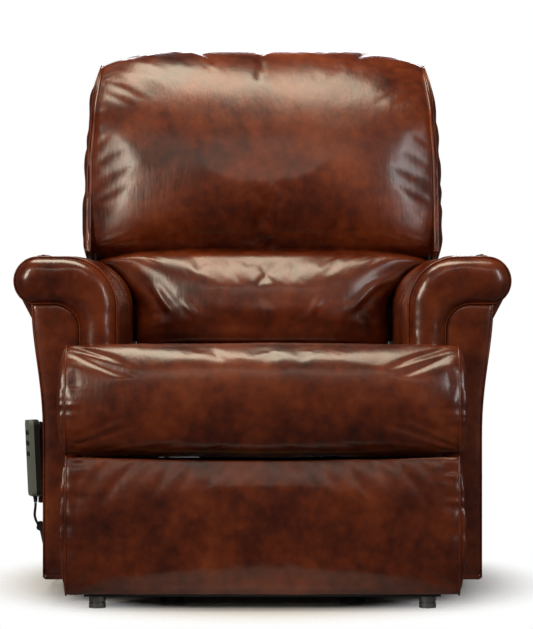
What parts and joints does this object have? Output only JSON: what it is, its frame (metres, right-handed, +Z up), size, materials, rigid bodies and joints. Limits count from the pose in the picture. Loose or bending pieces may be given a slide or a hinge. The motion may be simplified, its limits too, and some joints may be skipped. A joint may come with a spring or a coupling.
{
  "type": "lift recliner chair",
  "caption": "Leather riser recliner with scroll arms: its motor base lifts and tilts the seat, the backrest reclines, the footrest folds out, and a corded handset hangs on one arm.",
  "frame": {"origin": "on the floor under the middle of the chair's outer box", "axes": "+X across the chair, -Y to the front, +Z up"},
  "size_m": [0.86, 0.8944, 1.037],
  "materials": {
    "black_frame_steel": "satin",
    "link_steel": "satin",
    "rod_steel": "polished",
    "motor_case": "matte",
    "foot_metal": "satin",
    "spring_steel": "satin",
    "castor_plastic": "gloss",
    "timber": "matte",
    "leather": "gloss",
    "padding": "gloss",
    "webbing": "matte",
    "black_plastic": "satin",
    "handset_grey": "satin",
    "button_dark": "matte",
    "board_green": "satin",
    "cord_black": "satin"
  },
  "bodies": {
    "base": {"base_side_rails": "black_frame_steel", "base_cross_rails": "black_frame_steel", "base_brackets": "black_frame_steel", "levelling_feet": "foot_metal"},
    "castor_left": {"castor_housing_left": "castor_plastic"},
    "castor_right": {"castor_housing_right": "castor_plastic"},
    "castor_left_wheels": {"castor_wheels_left": "castor_plastic"},
    "castor_right_wheels": {"castor_wheels_right": "castor_plastic"},
    "lift_yoke": {"lift_yoke": "link_steel"},
    "rear_lift_links": {"rear_lift_links": "link_steel"},
    "lift_motor": {"lift_motor": "motor_case"},
    "lift_rod": {"lift_rod": "rod_steel"},
    "chassis": {"seat_side_plates": "link_steel", "seat_crossmembers": "link_steel", "seat_springs": "spring_steel", "seat_front_board": "timber", "seat_cushion": "padding", "seat_front_roll": "padding", "rear_panel": "leather", "control_box": "black_plastic", "power_supply": "black_plastic", "arm_frame_left": "timber", "arm_frame_right": "timber", "arm_cover_left": "padding", "arm_cover_right": "padding", "arm_front_pad_left": "padding", "arm_front_pad_right": "padding", "arm_facing_left": "leather", "arm_facing_right": "leather", "side_pocket": "leather", "handset_hook": "black_plastic", "cable_clip": "black_plastic", "cord_gland": "black_plastic", "handset_cord": "cord_black"},
    "back": {"back_frame": "timber", "back_hinge_brackets": "link_steel", "back_webbing": "webbing", "head_cushion": "padding", "lumbar_cushion": "padding", "back_wing_left": "leather", "back_wing_right": "leather", "back_rear_cover": "leather"},
    "back_motor": {"back_motor": "motor_case"},
    "back_rod": {"back_rod": "rod_steel"},
    "footrest_drive": {"footrest_drive_shaft": "link_steel"},
    "footrest_rocker": {"footrest_rocker_links": "link_steel"},
    "footrest_control": {"footrest_control_links": "link_steel"},
    "footrest_board_link": {"footrest_board_links": "link_steel"},
    "footrest": {"footrest_board": "timber", "footrest_pad": "padding"},
    "handset": {"handset_front_shell": "handset_grey", "handset_rear_shell": "black_plastic", "handset_circuit_board": "board_green", "handset_strain_relief": "black_plastic"},
    "button_1": {"handset_button_1": "button_dark"},
    "button_2": {"handset_button_2": "button_dark"},
    "button_3": {"handset_button_3": "button_dark"},
    "button_4": {"handset_button_4": "button_dark"},
    "button_5": {"handset_button_5": "button_dark"},
    "button_6": {"handset_button_6": "button_dark"}
  },
  "joints": [
    {"name": "castor_left_swivel", "type": "hinge", "parent": "base", "child": "castor_left", "pos_m": [-0.157, -0.342, 0.04], "axis": [0, 0, 1], "continuous": true},
    {"name": "castor_right_swivel", "type": "hinge", "parent": "base", "child": "castor_right", "pos_m": [0.157, -0.342, 0.04], "axis": [0, 0, 1], "continuous": true},
    {"name": "castor_left_roll", "type": "hinge", "parent": "castor_left", "child": "castor_left_wheels", "pos_m": [-0.157, -0.333, 0.0205], "axis": [1, 0, 0], "continuous": true},
    {"name": "castor_right_roll", "type": "hinge", "parent": "castor_right", "child": "castor_right_wheels", "pos_m": [0.157, -0.333, 0.0205], "axis": [1, 0, 0], "continuous": true},
    {"name": "lift", "type": "hinge", "parent": "base", "child": "lift_yoke", "pos_m": [0, -0.15, 0.085], "axis": [1, 0, 0], "range_deg": [0, 60]},
    {"name": "seat_tilt", "type": "hinge", "parent": "lift_yoke", "child": "chassis", "pos_m": [0, 0.18, 0.11], "axis": [1, 0, 0], "range_deg": [-35.1, 0]},
    {"name": "rear_lift_link_swing", "type": "hinge", "parent": "base", "child": "rear_lift_links", "pos_m": [0, -0.11, 0.109], "axis": [1, 0, 0], "range_deg": [0, 54.6]},
    {"name": "lift_motor_swing", "type": "hinge", "parent": "base", "child": "lift_motor", "pos_m": [-0.08, 0.318, 0.08], "axis": [1, 0, 0], "range_deg": [0, 3.3]},
    {"name": "lift_rod_stroke", "type": "slide", "parent": "lift_motor", "child": "lift_rod", "axis": [0, -0.9871, 0.1601], "range_m": [0, 0.066]},
    {"name": "back_recline", "type": "hinge", "parent": "chassis", "child": "back", "pos_m": [0, 0.205, 0.3], "axis": [-1, 0, 0], "range_deg": [0, 45]},
    {"name": "back_motor_swing", "type": "hinge", "parent": "chassis", "child": "back_motor", "pos_m": [0.08, -0.215, 0.235], "axis": [1, 0, 0], "range_deg": [-0.5, 0]},
    {"name": "back_rod_stroke", "type": "slide", "parent": "back_motor", "child": "back_rod", "axis": [0, 1, -0.0018], "range_m": [-0.0545, 0]},
    {"name": "footrest_raise", "type": "hinge", "parent": "chassis", "child": "footrest_drive", "pos_m": [0, -0.33, 0.22], "axis": [-1, 0, 0], "range_deg": [0, 127]},
    {"name": "footrest_rocker_swing", "type": "hinge", "parent": "footrest_drive", "child": "footrest_rocker", "pos_m": [0, -0.219, 0.091], "axis": [-1, 0, 0], "range_deg": [-109.5, 0]},
    {"name": "footrest_board_swing", "type": "hinge", "parent": "footrest_rocker", "child": "footrest", "pos_m": [0, -0.398, 0.155], "axis": [-1, 0, 0], "range_deg": [0, 72.3]},
    {"name": "footrest_control_swing", "type": "hinge", "parent": "chassis", "child": "footrest_control", "pos_m": [0, -0.3191, 0.253], "axis": [-1, 0, 0], "range_deg": [0, 131.6]},
    {"name": "footrest_board_link_swing", "type": "hinge", "parent": "footrest_drive", "child": "footrest_board_link", "pos_m": [0, -0.216, 0.125], "axis": [-1, 0, 0], "range_deg": [-112.8, 0]},
    {"name": "handset_lift_off", "type": "slide", "parent": "chassis", "child": "handset", "axis": [-0.0459, 0, 0.9989], "range_m": [0, 0.05]},
    {"name": "handset_button_1_press", "type": "slide", "parent": "handset", "child": "button_1", "axis": [0.9649, 0.2588, 0.0443], "range_m": [0, 0.0008], "stiffness_N_per_m": 600},
    {"name": "handset_button_2_press", "type": "slide", "parent": "handset", "child": "button_2", "axis": [0.9649, 0.2588, 0.0443], "range_m": [0, 0.0008], "stiffness_N_per_m": 600},
    {"name": "handset_button_3_press", "type": "slide", "parent": "handset", "child": "button_3", "axis": [0.9649, 0.2588, 0.0443], "range_m": [0, 0.0008], "stiffness_N_per_m": 600},
    {"name": "handset_button_4_press", "type": "slide", "parent": "handset", "child": "button_4", "axis": [0.9649, 0.2588, 0.0443], "range_m": [0, 0.0008], "stiffness_N_per_m": 600},
    {"name": "handset_button_5_press", "type": "slide", "parent": "handset", "child": "button_5", "axis": [0.9649, 0.2588, 0.0443], "range_m": [0, 0.0008], "stiffness_N_per_m": 600},
    {"name": "handset_button_6_press", "type": "slide", "parent": "handset", "child": "button_6", "axis": [0.9649, 0.2588, 0.0443], "range_m": [0, 0.0008], "stiffness_N_per_m": 600}
  ],
  "couplings": [
    {"joint": "seat_tilt", "follows": "lift", "ratio": -0.58333},
    {"joint": "rear_lift_link_swing", "follows": "lift", "ratio": 0.908},
    {"joint": "lift_motor_swing", "follows": "lift", "ratio": 0.053},
    {"joint": "lift_rod_stroke", "follows": "lift", "m_per_rad": 0.062032},
    {"joint": "back_motor_swing", "follows": "back_recline", "ratio": -0.005},
    {"joint": "back_rod_stroke", "follows": "back_recline", "m_per_rad": -0.068247},
    {"joint": "footrest_rocker_swing", "follows": "footrest_raise", "ratio": -0.859},
    {"joint": "footrest_board_swing", "follows": "footrest_raise", "ratio": 0.567},
    {"joint": "footrest_control_swing", "follows": "footrest_raise", "ratio": 1.0335},
    {"joint": "footrest_board_link_swing", "follows": "footrest_raise", "ratio": -0.8848}
  ]
}
